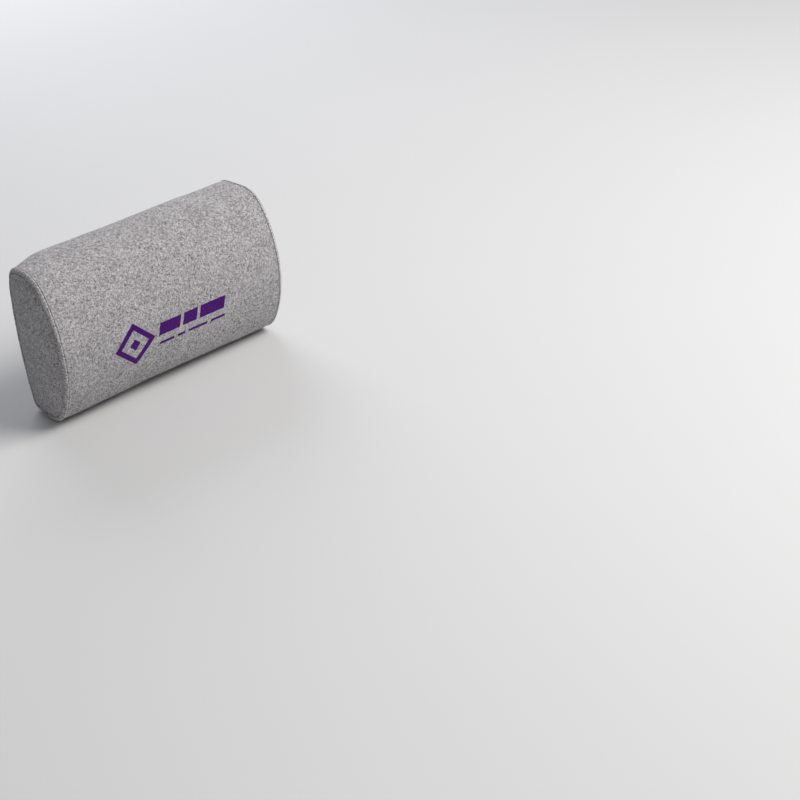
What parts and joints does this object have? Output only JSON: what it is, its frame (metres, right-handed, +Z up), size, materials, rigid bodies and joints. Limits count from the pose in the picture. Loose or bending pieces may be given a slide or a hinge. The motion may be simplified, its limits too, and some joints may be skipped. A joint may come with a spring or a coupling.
{
  "type": "lumbar support cushion",
  "caption": "D-section lumbar cushion in a grey sewn fabric cover, with a foam core, a coil zip across its flat back and a strap that buckles round a backrest.",
  "frame": {"origin": "middle of the flat back face, which lies against the backrest", "axes": "+X along the cushion's length, to the right as seen from in front; +Y out of the back face into the backrest; +Z up as worn on an upright backrest"},
  "size_m": [0.314, 0.1055, 0.188],
  "materials": {
    "melange_cover": "light grey melange woven polyester, matt",
    "inner_cloth": "off-white non-woven liner, matt",
    "foam": "open-cell polyurethane foam, cream",
    "zip_tape": "woven polyester tape, charcoal",
    "zip_coil": "nylon coil, satin",
    "zip_metal": "die-cast zinc, black nickel",
    "webbing": "ribbed elastic webbing, black",
    "acetal": "moulded acetal, fine satin",
    "label_cloth": "woven satin label, blank"
  },
  "bodies": {
    "cushion": {"front_panel": "melange_cover", "back_panel_upper": "melange_cover", "back_panel_lower": "melange_cover", "end_panel_left": "melange_cover", "end_panel_right": "melange_cover", "seam_welt_left": "melange_cover", "seam_welt_right": "melange_cover", "strap_patch_left": "melange_cover", "strap_patch_right": "melange_cover", "foam_liner": "inner_cloth", "foam_core": "foam", "zipper_tape_upper": "zip_tape", "zipper_tape_lower": "zip_tape", "zipper_coil_upper": "zip_coil", "zipper_coil_lower": "zip_coil", "zipper_bottom_stop": "zip_metal", "zipper_top_stop_upper": "zip_metal", "zipper_top_stop_lower": "zip_metal", "strap_left": "webbing", "strap_right": "webbing", "buckle_male": "acetal", "care_label": "label_cloth"},
    "zip_slider": {"zipper_slider": "zip_metal"},
    "zip_pull": {"zipper_pull": "zip_metal"},
    "keeper": {"strap_keeper": "acetal"},
    "buckle_socket": {"buckle_female": "acetal"},
    "upper_arm": {"release_arm_upper": "acetal"},
    "lower_arm": {"release_arm_lower": "acetal"}
  },
  "joints": [
    {"name": "zip_travel", "type": "slide", "parent": "cushion", "child": "zip_slider", "axis": [-1, 0, 0], "range_m": [0, 0.219], "deforming": ["zipper_tape_upper", "zipper_tape_lower", "zipper_coil_upper", "zipper_coil_lower"]},
    {"name": "pull_swing", "type": "hinge", "parent": "zip_slider", "child": "zip_pull", "pos_m": [0.1099, 0.00255, -0.048], "axis": [0, 0, -1], "range_deg": [0, 175]},
    {"name": "keeper_slide", "type": "slide", "parent": "cushion", "child": "keeper", "axis": [1, 0, 0], "range_m": [-0.01, 0.01]},
    {"name": "buckle_release", "type": "slide", "parent": "cushion", "child": "buckle_socket", "axis": [1, 0, 0], "range_m": [0, 0.024], "deforming": ["strap_right", "release_arm_upper", "release_arm_lower"]},
    {"name": "upper_arm_squeeze", "type": "hinge", "parent": "cushion", "child": "upper_arm", "pos_m": [-0.0197, 0.0051, 0.011], "axis": [0, 1, 0], "range_deg": [0, 10.5], "stiffness_Nm_per_rad": 0.05},
    {"name": "lower_arm_squeeze", "type": "hinge", "parent": "cushion", "child": "lower_arm", "pos_m": [-0.0197, 0.0051, -0.011], "axis": [0, -1, 0], "range_deg": [0, 10.5], "stiffness_Nm_per_rad": 0.05}
  ],
  "couplings": [
    {"joint": "lower_arm_squeeze", "follows": "upper_arm_squeeze", "ratio": 1}
  ]
}
